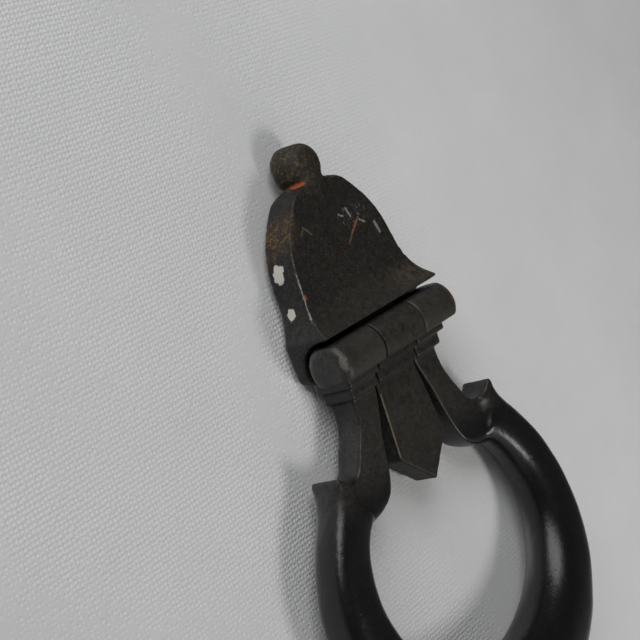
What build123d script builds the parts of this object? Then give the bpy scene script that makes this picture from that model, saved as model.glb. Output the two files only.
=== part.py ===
from build123d import *
import os
from math import cos, radians, sin

# ---------------------------------------------------------------------------
# Cast-iron door knocker: a bell-shaped boss bolted to the door, and a stirrup
# ring that swings from it on a three-knuckle hinge.
#
# Frame: X to the right, Y into the door, Z up, millimetres.
# Origin: centre of the fixing stud where it enters the door face (y = 0).
# Depths are measured out from the door face, drops downwards from the bell's
# lip, and rises upwards from it.
# ---------------------------------------------------------------------------

# --- bell boss: outline and side profile ----------------------------------
lip_below_stud = 18.0     # underside of the flared lip, below the fixing stud
bell_height = 36.2        # lip to the crown of the dome
lip_half = 25.0           # half width across the lip
lip_depth = 13.8          # how far the lip stands off the door
lip_edge = 0.8            # blunt edge at the very rim of the lip
waist_half = 21.6         # half width of the straight part
waist_rise = 12.5         # where the flare ends and the straight part begins
haunch_half = 19.8        # half width where the sides turn into the dome
haunch_rise = 22.0
shoulder_half = 12.8      # half width high on the dome
shoulder_rise = 32.0
bell_depth = 8.4          # how far the flat front stands off the door

# --- knob on the crown ------------------------------------------------------
knob_radius = 5.8
knob_depth = 8.8
knob_rise = 40.4
knob_round = 3.0
neck_half = 3.4           # half width of the web that joins knob and bell

# --- recess cast in the back ------------------------------------------------
relief_depth = 3.2
relief_rim = 4.6          # width of the rim that bears on the door
stud_pad_radius = 8.0     # pad left standing round the stud

# --- hinge --------------------------------------------------------------------
hinge_drop = 7.3          # pin centre below the lip
hinge_depth = 10.5        # pin centre off the door
barrel_half = 25.4        # half length of the whole barrel
centre_half = 8.6         # half length of the fixed centre knuckle
knuckle_gap = 0.3         # side play beside the centre knuckle
barrel_radius = 6.6
barrel_crown = 5.8        # flat top of the swinging knuckles, above the pin centre
barrel_foot = 11.2        # where the barrel ends and the reeds begin, as a drop
barrel_round = 2.4        # rounding of the barrel's outer ends
recess_play = 0.5         # air between the swinging knuckles and the bell
plate_play = 0.6          # air between the back plate and the reeds below it
plate_round = 2.4

# --- reeds under the barrel: front depth and drop of the underside ------------
reeds = ((12.4, 13.7), (10.6, 17.0))
reed_round = 0.6
reed_return = 0.8         # how far a reed steps in at its end, per mm of depth

# --- legs and tongue ------------------------------------------------------------
leg_depth = 9.0           # front of the legs and of the tongue
leg_back = 0.9            # back of the legs, kept off the door
tongue_back = 1.4
tongue_top_half = 8.6
tongue_low_half = 10.5
tongue_shoulder_drop = 37.5
tongue_tip_drop = 47.0
horn_depth = 10.6         # front of the upturned horns

# Outline of one leg below the reeds as (distance from the middle, drop).
leg_inner = ((11.7, 25.7), (13.9, 34.0), (18.4, 43.8), (24.0, 46.9), (30.0, 47.2))
leg_outer = ((19.5, 23.2), (23.4, 30.8), (28.9, 34.9))
horn_tip = (35.3, 31.5)
horn_flank = ((36.2, 34.4), (39.0, 39.6), (34.0, 44.0))

# --- ring bar ---------------------------------------------------------------------
ring_half_width = 42.9    # the bar's centreline is an ellipse
ring_half_height = 37.6
ring_drop = 68.4          # centre of the ring
bar_back = 0.8            # back of the bar, kept off the door
bar_start = 46            # degrees above the horizontal where the bar leaves the shoulder
start_half_depth = 5.3    # at the shoulder the bar has a flat outer side
start_half_width = 6.8
start_shift = 1.0         # and stands out this far from the oval
start_outer_corner = 2.6
start_inner_corner = 5.0
full_half_depth = 10.3    # at the bottom it is thick and nearly round
full_half_width = 11.2
full_corner = 9.9
bar_sections = 25         # sections that the bar is drawn through
striker_radius = 7.0      # pad that meets the door when it knocks

# --- hinge pin ------------------------------------------------------------------
pin_radius = 2.25
pin_play = 0.08           # running clearance in the ring's knuckles, radial
blind_wall = 3.4          # metal left at the closed end of the barrel
pin_sink = 0.3            # pin end below the open end of the barrel
pin_chamfer = 0.4

# --- door fixing ------------------------------------------------------------------
door_thickness = 44.0
stud_radius = 4.0
thread_radius = 3.9       # crests of the threaded ends
thread_length = 16.0      # threaded length at the nut end
stud_seat = 4.8           # length screwed into the boss
stud_end = 12.0           # length past the inside face of the door
stud_chamfer = 0.8
thread_play = 0.05        # radial, stands for the thread's fit
washer_radius = 11.0
washer_play = 0.5
washer_thickness = 2.0
nut_flats = 13.0
nut_thickness = 6.5
spur_radius = 1.5
spur_seat = 4.0           # length pressed into the tongue
spur_reach = 8.0          # length that bites into the door
spur_point = 3.0
spur_drop = 30.0

# --- worked out -------------------------------------------------------------------
lip_z = -lip_below_stud
hinge_y = -hinge_depth
hinge_z = lip_z - hinge_drop
plate_drop = barrel_foot - reed_round - plate_play
ring_z = lip_z - ring_drop
recess_radius = barrel_radius + recess_play
nose_depth = hinge_depth + barrel_radius
ear_inner = centre_half + knuckle_gap
ear_length = barrel_half - ear_inner

hinge_axis = Plane(origin=(0, hinge_y, hinge_z), x_dir=(0, 1, 0), z_dir=(1, 0, 0))

os.makedirs("parts", exist_ok=True)


def save(builder, label):
    """Name a finished piece and write its file."""
    builder.part.label = label
    export_step(builder.part, f"parts/{label}.step")


def below_lip(points):
    """Turn (x, drop) pairs into sketch points."""
    return [(x, lip_z - drop) for x, drop in points]


def bell_outline():
    """Front outline of the bell: dome, straight sides and flared lip."""
    with BuildSketch(mode=Mode.PRIVATE) as outline:
        with BuildLine():
            Polyline((0, lip_z), (lip_half, lip_z), (lip_half, lip_z + lip_edge))
            Spline(
                (lip_half, lip_z + lip_edge),
                (waist_half, lip_z + waist_rise),
                tangents=((-0.6, 1), (-0.05, 1)),
            )
            Spline(
                (waist_half, lip_z + waist_rise),
                (haunch_half, lip_z + haunch_rise),
                (shoulder_half, lip_z + shoulder_rise),
                (0, lip_z + bell_height),
                tangents=((-0.05, 1), (-1, 0)),
            )
            mirror(about=Plane.YZ)
        make_face()
    return outline.sketch


def barrel_section(reaches_lip):
    """Cross-section of a knuckle: round, with a flat foot and a flat crown."""
    crown_z = hinge_z + barrel_crown
    body_height = crown_z - lip_z + barrel_foot
    with BuildSketch(mode=Mode.PRIVATE) as section:
        with Locations((hinge_y, hinge_z)):
            Circle(barrel_radius)
        with Locations((hinge_y, crown_z)):
            Rectangle(
                2 * barrel_radius, body_height, align=(Align.CENTER, Align.MAX), mode=Mode.INTERSECT
            )
        if reaches_lip:
            with Locations((0, lip_z + lip_edge)):
                Rectangle(hinge_depth, hinge_drop + lip_edge, align=(Align.MAX, Align.MAX))
    return section.sketch


def reed_section(top, depth, foot, back):
    """One reed: a slab from the back of the casting to its rounded front."""
    with BuildSketch(mode=Mode.PRIVATE) as section:
        with Locations((-back, lip_z - top)):
            Rectangle(depth - back, foot - top, align=(Align.MAX, Align.MAX))
        fillet(section.vertices().group_by(Axis.X)[0], reed_round)
    return section.sketch


def stepped_end(depth):
    """Outer end of whatever stands this far off the door below the barrel."""
    return barrel_half - (nose_depth - depth) * reed_return


def reed_list(back):
    """Section and outer end of every reed, from the top one down."""
    bands = []
    top = barrel_foot - reed_round
    for depth, foot in reeds:
        bands.append((reed_section(top, depth, foot, back), stepped_end(depth)))
        top = foot - reed_round
    return bands


# ---------------------------------------------------------------------------
# Boss casting: bell, knob, back plate, centre knuckle and tongue in one piece
# ---------------------------------------------------------------------------
with BuildPart() as boss_casting:
    # The bell is its front outline cut by its side profile, so it flares
    # sideways and forwards together at the lip.
    with BuildSketch(Plane.XZ):
        add(bell_outline())
    extrude(amount=lip_depth)
    with BuildSketch(Plane.YZ):
        with BuildLine():
            Polyline((-lip_depth, lip_z + lip_edge), (-lip_depth, lip_z), (0, lip_z))
            Polyline((0, lip_z), (0, lip_z + bell_height), (-bell_depth, lip_z + bell_height))
            Line((-bell_depth, lip_z + bell_height), (-bell_depth, lip_z + waist_rise))
            Spline(
                (-bell_depth, lip_z + waist_rise),
                (-lip_depth, lip_z + lip_edge),
                tangents=((0, -1), (-1, -0.75)),
            )
        make_face()
    extrude(amount=lip_half, both=True, mode=Mode.INTERSECT)

    # Knob on the crown, with a short web down to the dome.
    knob_z = lip_z + knob_rise
    with BuildSketch(Plane.YZ):
        with BuildLine():
            rim = knob_z + knob_radius
            Polyline((-knob_depth, rim - knob_round), (-knob_depth, knob_z), (0, knob_z), (0, rim))
            Line((0, rim), (knob_round - knob_depth, rim))
            RadiusArc((knob_round - knob_depth, rim), (-knob_depth, rim - knob_round), -knob_round)
        make_face()
    revolve(axis=Axis((0, 0, knob_z), (0, 1, 0)))
    with BuildSketch(Plane.XZ):
        with Locations((0, knob_z)):
            Rectangle(2 * neck_half, knob_rise - shoulder_rise, align=(Align.CENTER, Align.MAX))
    extrude(amount=bell_depth)

    # Back plate behind the swinging knuckles.
    with BuildSketch(Plane.XZ):
        with Locations((0, lip_z + lip_edge)):
            Rectangle(2 * lip_half, plate_drop + lip_edge, align=(Align.CENTER, Align.MAX))
    extrude(amount=hinge_depth)
    low_corners = boss_casting.edges().filter_by(Axis.Y).group_by(Axis.Z)[0]
    fillet(low_corners, plate_round)

    # Round recesses that the ring's knuckles turn in.
    for side in (-1, 1):
        with BuildSketch(hinge_axis.offset(side * centre_half)):
            Circle(recess_radius)
        extrude(amount=side * lip_half, mode=Mode.SUBTRACT)

    # Centre knuckle and its reeds.
    with BuildSketch(Plane.YZ):
        add(barrel_section(reaches_lip=True))
        for band, _ in reed_list(tongue_back):
            add(band)
    extrude(amount=centre_half, both=True)

    # Tongue: a shield that hangs between the legs of the ring.
    with BuildSketch(Plane.XZ.offset(tongue_back)):
        with BuildLine():
            Polyline(
                *below_lip((
                    (tongue_top_half, hinge_drop),
                    (tongue_top_half, reeds[-1][1]),
                    (tongue_low_half, tongue_shoulder_drop),
                    (0, tongue_tip_drop),
                ))
            )
            Line((tongue_top_half, lip_z - hinge_drop), (0, lip_z - hinge_drop))
            mirror(about=Plane.YZ)
        make_face()
    extrude(amount=leg_depth - tongue_back)

    # Recess in the back, leaving a bearing rim and the pad round the stud.
    relief_half = haunch_half - relief_rim
    relief_foot = lip_z + relief_rim
    relief_spring = lip_z + bell_height - relief_rim - relief_half
    with BuildSketch(Plane.XZ):
        with Locations((0, relief_spring)):
            Circle(relief_half)
            Rectangle(2 * relief_half, relief_spring - relief_foot, align=(Align.CENTER, Align.MAX))
        Circle(stud_pad_radius, mode=Mode.SUBTRACT)
    extrude(amount=relief_depth, mode=Mode.SUBTRACT)

    # Tapped hole for the stud, reamed hole for the pin, drilled hole for the spur.
    with BuildSketch(Plane.XZ):
        Circle(thread_radius + thread_play)
    extrude(amount=stud_seat, mode=Mode.SUBTRACT)
    with BuildSketch(hinge_axis):
        Circle(pin_radius)
    extrude(amount=centre_half, both=True, mode=Mode.SUBTRACT)
    with BuildSketch(Plane.XZ.offset(tongue_back)):
        with Locations((0, lip_z - spur_drop)):
            Circle(spur_radius)
    extrude(amount=spur_seat, mode=Mode.SUBTRACT)
save(boss_casting, "boss_casting")

# ---------------------------------------------------------------------------
# Knocker ring: two outer knuckles, legs, horned shoulders and a round bar
# ---------------------------------------------------------------------------
with BuildPart() as knocker_ring:
    # Outer knuckle, with a bullet-shaped end.
    with BuildSketch(Plane.YZ.offset(ear_inner)):
        add(barrel_section(reaches_lip=False))
    extrude(amount=ear_length)
    nose_y = -nose_depth
    with BuildSketch(Plane.XY.offset(hinge_z)):
        with BuildLine():
            Polyline((ear_inner, nose_y), (ear_inner, hinge_y), (barrel_half, hinge_y))
            Line((barrel_half, hinge_y), (barrel_half, nose_y + barrel_round))
            RadiusArc((barrel_half, nose_y + barrel_round), (barrel_half - barrel_round, nose_y), barrel_round)
            Line((barrel_half - barrel_round, nose_y), (ear_inner, nose_y))
        make_face()
    revolve(axis=Axis((0, hinge_y, hinge_z), (1, 0, 0)), mode=Mode.INTERSECT)

    # Reeds below it, which step back round the open end.
    for band, end in reed_list(leg_back):
        with BuildSketch(Plane.YZ.offset(ear_inner)):
            add(band)
        extrude(amount=end - ear_inner)

    # One leg with its web, seen from the front.
    inner_top = (ear_inner, reeds[-1][1])
    outer_top = (stepped_end(leg_depth), reeds[-1][1])
    with BuildSketch(Plane.XZ.offset(leg_back)):
        with BuildLine():
            Polyline(*below_lip(((ear_inner, barrel_foot), inner_top)))
            Spline(*below_lip((inner_top, *leg_inner)), tangents=((0.2, -1), (1, 0)))
            Polyline(*below_lip((leg_inner[-1], *horn_flank[::-1], horn_tip)))
            Spline(*below_lip((horn_tip, leg_outer[-1])), tangents=((-1, -0.6), (-1, 0)))
            Spline(*below_lip((*leg_outer[::-1], outer_top)), tangents=((-1, 0), (0, 1)))
            Polyline(*below_lip((outer_top, (outer_top[0], barrel_foot), (ear_inner, barrel_foot))))
        make_face()
    extrude(amount=leg_depth - leg_back)

    # The horn stands a little proud of the web.
    with BuildSketch(Plane.XZ.offset(leg_back)):
        with BuildLine():
            Spline(*below_lip((horn_tip, leg_outer[-1])), tangents=((-1, -0.6), (-1, 0)))
            Polyline(*below_lip((leg_outer[-1], *horn_flank[::-1], horn_tip)))
        make_face()
    extrude(amount=horn_depth - leg_back)

    mirror(about=Plane.YZ)

    # Bar: an oval that swells from the shoulders to the bottom.
    bar_sweep = 180 + 2 * bar_start
    for number in range(bar_sections):
        angle = radians(bar_start - bar_sweep * number / (bar_sections - 1))
        from_bottom = abs(number / (bar_sections - 1) - 0.5) * 2
        swell = 1 - from_bottom * from_bottom * (3 - 2 * from_bottom)
        half_depth = start_half_depth + (full_half_depth - start_half_depth) * swell
        half_width = start_half_width + (full_half_width - start_half_width) * swell
        outer_corner = start_outer_corner + (full_corner - start_outer_corner) * swell
        inner_corner = start_inner_corner + (full_corner - start_inner_corner) * swell
        outward = Vector(ring_half_height * cos(angle), 0, ring_half_width * sin(angle)).normalized()
        forward = Vector(outward.Z, 0, -outward.X)
        oval_point = Vector(ring_half_width * cos(angle), 0, ring_z + ring_half_height * sin(angle))
        centre = oval_point + outward * start_shift * (1 - swell) - Vector(0, bar_back + half_depth, 0)
        with BuildSketch(Plane(origin=centre, x_dir=outward, z_dir=forward)) as section:
            Rectangle(2 * half_width, 2 * half_depth)
            fillet(section.vertices().group_by(Axis.X)[-1], outer_corner)
            fillet(section.vertices().group_by(Axis.X)[0], inner_corner)
    loft()

    # Striking pad at the bottom of the ring.
    with BuildSketch(Plane.XZ):
        with Locations((0, ring_z - ring_half_height)):
            Circle(striker_radius)
    extrude(amount=bar_back + full_half_depth)

    # Pin holes: right through the right-hand knuckle, blind in the left one.
    with BuildSketch(hinge_axis):
        Circle(pin_radius + pin_play)
    extrude(amount=barrel_half, mode=Mode.SUBTRACT)
    with BuildSketch(hinge_axis):
        Circle(pin_radius + pin_play)
    extrude(amount=-(barrel_half - blind_wall), mode=Mode.SUBTRACT)
save(knocker_ring, "knocker_ring")

# ---------------------------------------------------------------------------
# Hinge pin, driven in from the right and gripped by the centre knuckle
# ---------------------------------------------------------------------------
pin_left = -(barrel_half - blind_wall - knuckle_gap)
pin_right = barrel_half - pin_sink
with BuildPart() as hinge_pin:
    with BuildSketch(hinge_axis.offset(pin_left)):
        Circle(pin_radius)
    extrude(amount=pin_right - pin_left)
    chamfer(hinge_pin.edges().filter_by(GeomType.CIRCLE), pin_chamfer)
save(hinge_pin, "hinge_pin")

# ---------------------------------------------------------------------------
# Door fixing: stud, washer and nut, and the spur that stops the boss turning
# ---------------------------------------------------------------------------
stud_reach = door_thickness + stud_end
with BuildPart() as fixing_stud:
    with BuildSketch(Plane.XZ.offset(stud_seat)):
        Circle(thread_radius)
    extrude(amount=-(stud_seat + stud_reach))
    chamfer(fixing_stud.edges().filter_by(GeomType.CIRCLE), stud_chamfer)
    with BuildSketch(Plane.XZ):
        Circle(stud_radius)
    extrude(amount=-(stud_reach - thread_length))
save(fixing_stud, "fixing_stud")

with BuildPart() as fixing_washer:
    with BuildSketch(Plane.XZ.offset(-door_thickness)):
        Circle(washer_radius)
        Circle(thread_radius + washer_play, mode=Mode.SUBTRACT)
    extrude(amount=-washer_thickness)
save(fixing_washer, "fixing_washer")

with BuildPart() as fixing_nut:
    with BuildSketch(Plane.XZ.offset(-(door_thickness + washer_thickness))):
        RegularPolygon(nut_flats / 2, 6, major_radius=False)
        Circle(thread_radius + thread_play, mode=Mode.SUBTRACT)
    extrude(amount=-nut_thickness)
save(fixing_nut, "fixing_nut")

with BuildPart() as locating_spur:
    with BuildSketch(Plane.XZ.offset(tongue_back + spur_seat)):
        with Locations((0, lip_z - spur_drop)):
            Circle(spur_radius)
    extrude(amount=-(tongue_back + spur_seat + spur_reach))
    chamfer(locating_spur.faces().sort_by(Axis.Y)[-1].edges(), spur_point, spur_radius - 0.2)
save(locating_spur, "locating_spur")
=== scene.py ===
# %% [markdown]
# # A cast-iron door knocker
#
# The object is an old bell-shaped door knocker. A boss with a bell front is bolted to
# the door, and a heavy oval ring hangs from it on a hinge that is moulded into the two
# castings. Both castings are black-painted iron, worn by a century of hands and weather.
#
# The design model is the fixed frame. It says where every piece is and what it turns on.
# This notebook only gives the pieces their looks, one step at a time.

# %% Load the frame
import math

import bmesh
import bpy
import numpy as np
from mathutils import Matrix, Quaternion, Vector, noise


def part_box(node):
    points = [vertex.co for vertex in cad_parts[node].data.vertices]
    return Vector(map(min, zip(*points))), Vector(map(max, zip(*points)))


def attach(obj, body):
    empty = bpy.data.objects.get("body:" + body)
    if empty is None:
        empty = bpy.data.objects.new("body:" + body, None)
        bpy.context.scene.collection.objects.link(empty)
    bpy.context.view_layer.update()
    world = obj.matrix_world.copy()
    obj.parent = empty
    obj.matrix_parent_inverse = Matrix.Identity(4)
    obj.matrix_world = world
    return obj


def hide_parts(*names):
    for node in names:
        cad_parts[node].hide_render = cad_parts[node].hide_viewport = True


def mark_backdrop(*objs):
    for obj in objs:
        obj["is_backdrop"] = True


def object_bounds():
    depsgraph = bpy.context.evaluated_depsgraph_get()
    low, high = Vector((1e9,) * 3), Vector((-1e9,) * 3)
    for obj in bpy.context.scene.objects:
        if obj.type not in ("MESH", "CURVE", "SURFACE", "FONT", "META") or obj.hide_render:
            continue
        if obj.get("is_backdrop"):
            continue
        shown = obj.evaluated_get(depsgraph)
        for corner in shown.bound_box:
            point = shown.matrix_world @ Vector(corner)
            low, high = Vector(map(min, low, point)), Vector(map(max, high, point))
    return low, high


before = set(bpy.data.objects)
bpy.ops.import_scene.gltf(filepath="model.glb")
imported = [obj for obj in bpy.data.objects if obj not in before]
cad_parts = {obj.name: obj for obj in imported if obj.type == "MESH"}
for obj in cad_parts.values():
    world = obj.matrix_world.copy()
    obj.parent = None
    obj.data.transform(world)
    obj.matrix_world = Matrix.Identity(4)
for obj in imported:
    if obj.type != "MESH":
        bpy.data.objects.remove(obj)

cad_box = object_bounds()

# %% [markdown]
# ## Working places
#
# Everything is in metres, but a knocker is easier to think about in millimetres. The
# lip of the bell is the line that people measure this kind of casting from, so places
# are said as x to the right, depth out from the door, and rise above the lip. The lip
# is found from the hinge pin, which the frame knows exactly.

# %% Places on the knocker
MM = 0.001
LIP_ABOVE_PIN = 7.3
pin_low, pin_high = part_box("hinge_pin")
pin_axis = (pin_low + pin_high) / 2
lip_z = pin_axis.z + LIP_ABOVE_PIN * MM
pin_depth = -pin_axis.y / MM


def place(x, depth, rise):
    """A point in metres from millimetres to the right, off the door and above the lip."""
    return Vector((x * MM, -depth * MM, lip_z + rise * MM))


print(f"lip at z {lip_z / MM:.1f} mm, pin {pin_depth:.1f} mm off the door")

# %% [markdown]
# ## The camera
#
# The camera looks at the knocker from the left and a little above, from about 36 cm, and
# it is rolled, so the knocker seems to lean. A camera is easiest to reason about as an
# aim point, an azimuth, an elevation, a distance and a roll, so it is given as those
# numbers and a lens.

# %% Camera
AIM = Vector((-4.0, 4.7, -16.2)) * MM
AZIMUTH = -47.6
ELEVATION = 7.3
DISTANCE = 361.8 * MM
ROLL = 22.1
LENS = 78.75
SENSOR_WIDTH = 36
NEAREST_SEEN = 0.01


def direction(azimuth, elevation):
    """Unit vector from the knocker towards something seen at that azimuth and elevation."""
    a, e = math.radians(azimuth), math.radians(elevation)
    return Vector((math.sin(a) * math.cos(e), -math.cos(a) * math.cos(e), math.sin(e)))


camera = bpy.data.objects.new("camera", bpy.data.cameras.new("camera"))
bpy.context.collection.objects.link(camera)
camera.data.lens = LENS
camera.data.sensor_width = SENSOR_WIDTH
camera.data.clip_start = NEAREST_SEEN
camera.location = AIM + direction(AZIMUTH, ELEVATION) * DISTANCE
camera.rotation_mode = "QUATERNION"
facing = (-direction(AZIMUTH, ELEVATION)).to_track_quat("-Z", "Y")
camera.rotation_quaternion = facing @ Quaternion((0, 0, 1), math.radians(-ROLL))
bpy.context.scene.camera = camera
bpy.context.scene.view_settings.view_transform = "Standard"
print("camera at", [round(v / MM) for v in camera.location], "mm")

# %% [markdown]
# ## Small helpers for meshes
#
# Two ways of making a shape are used again and again. A turned piece is a profile spun
# round an axis. A skin is a closed surface of small even faces round one or more solids,
# which is how cast iron wants to be treated: everything that touches is one metal.

# %% Helpers that make shapes
def new_piece(name, mesh):
    """An object in the scene, shaded smooth."""
    mesh.polygons.foreach_set("use_smooth", np.ones(len(mesh.polygons), bool))
    piece = bpy.data.objects.new(name, mesh)
    bpy.context.collection.objects.link(piece)
    return piece


def mesh_of(name, points, faces):
    mesh = bpy.data.meshes.new(name)
    mesh.from_pydata([tuple(p) for p in points], [], faces)
    mesh.validate()
    return mesh


def tube_faces(rows, columns, closed_rows=False):
    """Faces round a tube of points, either capped at both ends or closed on itself."""
    faces = []
    for row in range(rows if closed_rows else rows - 1):
        under, over = row * columns, (row + 1) % rows * columns
        for column in range(columns):
            after = (column + 1) % columns
            faces.append((under + column, under + after, over + after, over + column))
    if not closed_rows:
        faces.append(tuple(reversed(range(columns))))
        faces.append(tuple(range((rows - 1) * columns, rows * columns)))
    return faces


def turned(name, profile, origin, axis, steps=64):
    """A profile of (along, radius) pairs in mm, from one end of the axis to the other."""
    turn = Vector((0, 0, 1)).rotation_difference(Vector(axis))
    points = []
    for along, radius in profile:
        for step in range(steps):
            angle = math.tau * step / steps
            local = Vector((radius * math.cos(angle), radius * math.sin(angle), along)) * MM
            points.append(turn @ local + origin)
    return mesh_of(name, points, tube_faces(len(profile), steps))


def skin(name, solids, face_size):
    """One closed surface of even faces round all the solids together."""
    joined = bmesh.new()
    for solid in solids:
        joined.from_mesh(solid)
    mesh = bpy.data.meshes.new(name)
    joined.to_mesh(mesh)
    joined.free()
    raw = bpy.data.objects.new(name + "_raw", mesh)
    bpy.context.collection.objects.link(raw)
    wrap = raw.modifiers.new("skin", "REMESH")
    wrap.mode = "VOXEL"
    wrap.voxel_size = face_size * MM
    bpy.context.view_layer.update()
    evaluated = raw.evaluated_get(bpy.context.evaluated_depsgraph_get())
    wrapped = bpy.data.meshes.new_from_object(evaluated)
    bpy.data.objects.remove(raw)
    wrapped.name = name
    return wrapped


print("shape helpers ready")

# %% [markdown]
# Two ways of changing a skin follow. Softening lets it relax, a lot or a little, so that
# arrises are as round as a worn casting's. Unevenness moves it in and out in soft lumps,
# because sand never gives a true surface.

# %% Helpers that change a skin
def points_of(mesh):
    points = np.empty(len(mesh.vertices) * 3)
    mesh.vertices.foreach_get("co", points)
    return points.reshape(-1, 3)


def set_points(mesh, points):
    mesh.vertices.foreach_set("co", points.ravel())
    mesh.update()


def normals_of(mesh):
    normals = np.empty(len(mesh.vertices) * 3)
    mesh.vertex_normals.foreach_get("vector", normals)
    return normals.reshape(-1, 3)


class Neighbours:
    """Averages a value over the points that an edge joins to each point."""

    def __init__(self, mesh):
        edges = np.empty(len(mesh.edges) * 2, int)
        mesh.edges.foreach_get("vertices", edges)
        edges = edges.reshape(-1, 2)
        self.here = np.concatenate((edges[:, 0], edges[:, 1]))
        self.there = np.concatenate((edges[:, 1], edges[:, 0]))
        self.count = len(mesh.vertices)
        self.joined = np.bincount(self.here, minlength=self.count)

    def mean(self, values):
        columns = values.reshape(self.count, -1)
        sums = [np.bincount(self.here, column[self.there], self.count) for column in columns.T]
        return (np.stack(sums, 1) / self.joined[:, None]).reshape(values.shape)


def soften(mesh, rounds, share=1.0):
    """Lets the surface relax. share may differ from point to point, from 0 to 1."""
    near = Neighbours(mesh)
    points = points_of(mesh)
    share = np.broadcast_to(share, (len(points),))[:, None] * 0.5
    for _ in range(rounds):
        points += (near.mean(points) - points) * share
    set_points(mesh, points)


def step_up(values, low, high):
    """0 below low, 1 above high, with a soft start and end."""
    t = np.clip((values - low) / (high - low), 0, 1)
    return t * t * (3 - 2 * t)


def uneven(mesh, height, size, seed, share=1.0):
    """Moves the surface in and out by up to height, in lumps of about size, both in mm."""
    points = points_of(mesh)
    offset = Vector((seed * 7.3, seed * 3.1, seed * 5.7))
    lumps = np.array([noise.noise(Vector(p) / (size * MM) + offset) for p in points])
    moved = points + normals_of(mesh) * (lumps * height * MM * share)[:, None]
    set_points(mesh, moved)


print("skin helpers ready")

# %% [markdown]
# ## Where the iron is proud and where it is hollow
#
# Paint wears off the arrises first and dirt stays in the hollows. To let a material know
# which is which, every point of a casting stores how far it stands above the points near it:
# positive on an arris, negative in a groove. It is kept as a named value on the mesh,
# so it holds in every view and travels with the piece.

# %% Arris and hollow values
def mark_bend(mesh, spread=3):
    """Stores 'bend' on the mesh: about 1 on a crisp arris, about -1 in a tight groove.

    spread is how many times the value is averaged with its neighbours.
    """
    near = Neighbours(mesh)
    points = points_of(mesh)
    proud = ((points - near.mean(near.mean(points))) * normals_of(mesh)).sum(1)
    for _ in range(spread):
        proud = near.mean(proud)
    typical = np.percentile(np.abs(proud), 99)
    bend = mesh.attributes.new("bend", "FLOAT", "POINT")
    bend.data.foreach_set("value", np.clip(proud / typical, -1.5, 1.5))


print("bend marker ready")

# %% [markdown]
# ## The boss
#
# The boss is one casting: knob, bell, centre knuckle and tongue. The frame's solid has
# the right size everywhere, but its arrises are knife sharp. The knob is also more of a
# thumb: full at the door and smaller in front, and its metal runs down into the bell as
# a soft ridge. Those two forms are made as solids of their own and wrapped in one skin
# with the frame's solid. Then the skin relaxes and gets the gentle unevenness of a sand
# casting.

# %% The knob and its neck
def ridge_mesh(name, stations, steps=24):
    """A closed rounded ridge through stations of (x, depth, rise, half width, half depth)."""
    points, faces = [], []
    for x, depth, rise, half_width, half_depth in stations:
        for step in range(steps):
            angle = math.tau * step / steps
            across, out = half_width * math.cos(angle), half_depth * math.sin(angle)
            points.append(place(x + across, depth + out, rise))
    for ring in range(len(stations) - 1):
        for step in range(steps):
            after = (step + 1) % steps
            low, high = ring * steps, (ring + 1) * steps
            faces.append((low + step, high + step, high + after, low + after))
    faces.append(tuple(range(steps)))
    faces.append(tuple(reversed(range((len(stations) - 1) * steps, len(stations) * steps))))
    return mesh_of(name, points, faces)


OUT_FROM_DOOR = (0, -1, 0)
KNOB_CENTRE = place(-1.1, 0, 40.3)
knob_profile = [(0.4, 5.2), (0.8, 5.8), (2.0, 6.1), (4.5, 5.8)]
knob_profile += [(6.4, 5.2), (7.7, 4.3), (8.4, 3.1), (8.7, 1.6)]
knob_form = turned("knob_form", knob_profile, KNOB_CENTRE, OUT_FROM_DOOR)
neck_stations = [(0, 5.0, 41.0, 3.6, 3.5), (0, 5.0, 38.0, 4.0, 3.9)]
neck_stations += [(0, 5.0, 34.0, 5.0, 3.9), (0, 4.5, 29.0, 6.0, 3.9)]
neck_form = ridge_mesh("neck_form", neck_stations)
print("knob and neck forms ready")

# %% Boss casting
SKIN_FACE = 0.34
BELL_FRONT = 8.4
DRAFT = 0.045

boss_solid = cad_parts["boss_casting"].data
boss_mesh = skin("boss_iron", [boss_solid, knob_form, neck_form], SKIN_FACE)
points = points_of(boss_mesh)
rise = (points[:, 2] - lip_z) / MM
depth = -points[:, 1] / MM
# The upper bell draws in towards its front, as a pattern must to leave the sand.
points[:, 0] *= 1 - DRAFT * step_up(rise, 6, 20) * np.clip(depth / BELL_FRONT, 0, 1)
set_points(boss_mesh, points)
on_knob = step_up(rise, 33, 37)
soften(boss_mesh, 5)
soften(boss_mesh, 16, on_knob)
# First the slow waves of the casting, and none on the hinge, then its fine texture.
uneven(boss_mesh, 0.16, 7.0, 1, step_up(rise, 2, 8))
uneven(boss_mesh, 0.05, 1.6, 2)
mark_bend(boss_mesh)
boss = new_piece("boss_iron", boss_mesh)
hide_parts("boss_casting")
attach(boss, "boss")
print("boss skin:", len(boss_mesh.vertices), "points")

# %% [markdown]
# ## The ring
#
# The ring's casting has crisp reeds and knuckles at the top, soft horns, and a bar that
# a hand has polished. One skin does for all of it, because only the amount of softening
# changes: little at the hinge, more on the horns, most on the bar and the flanks.

# %% Ring casting
LEAN = math.radians(1.6)

ring_mesh = skin("ring_iron", [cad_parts["knocker_ring"].data], SKIN_FACE)
points = points_of(ring_mesh)
drop = (lip_z - points[:, 2]) / MM
# The oval isn't quite true to the hinge: below the reeds it leans to one side.
lean = LEAN * step_up(drop, 17, 32)
x, z = points[:, 0].copy(), points[:, 2] - pin_axis.z
points[:, 0] = x * np.cos(lean) + z * np.sin(lean)
points[:, 2] = pin_axis.z + z * np.cos(lean) - x * np.sin(lean)
set_points(ring_mesh, points)
on_horns = step_up(np.abs(x) / MM, 23, 28) * step_up(drop, 26, 30)
flank = step_up(np.abs(x) / MM, 26, 31) * step_up(drop, 33, 37)
on_bar = step_up(drop, 43, 49)
print("ring leans", round(math.degrees(LEAN), 1), "degrees below the reeds")

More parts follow.
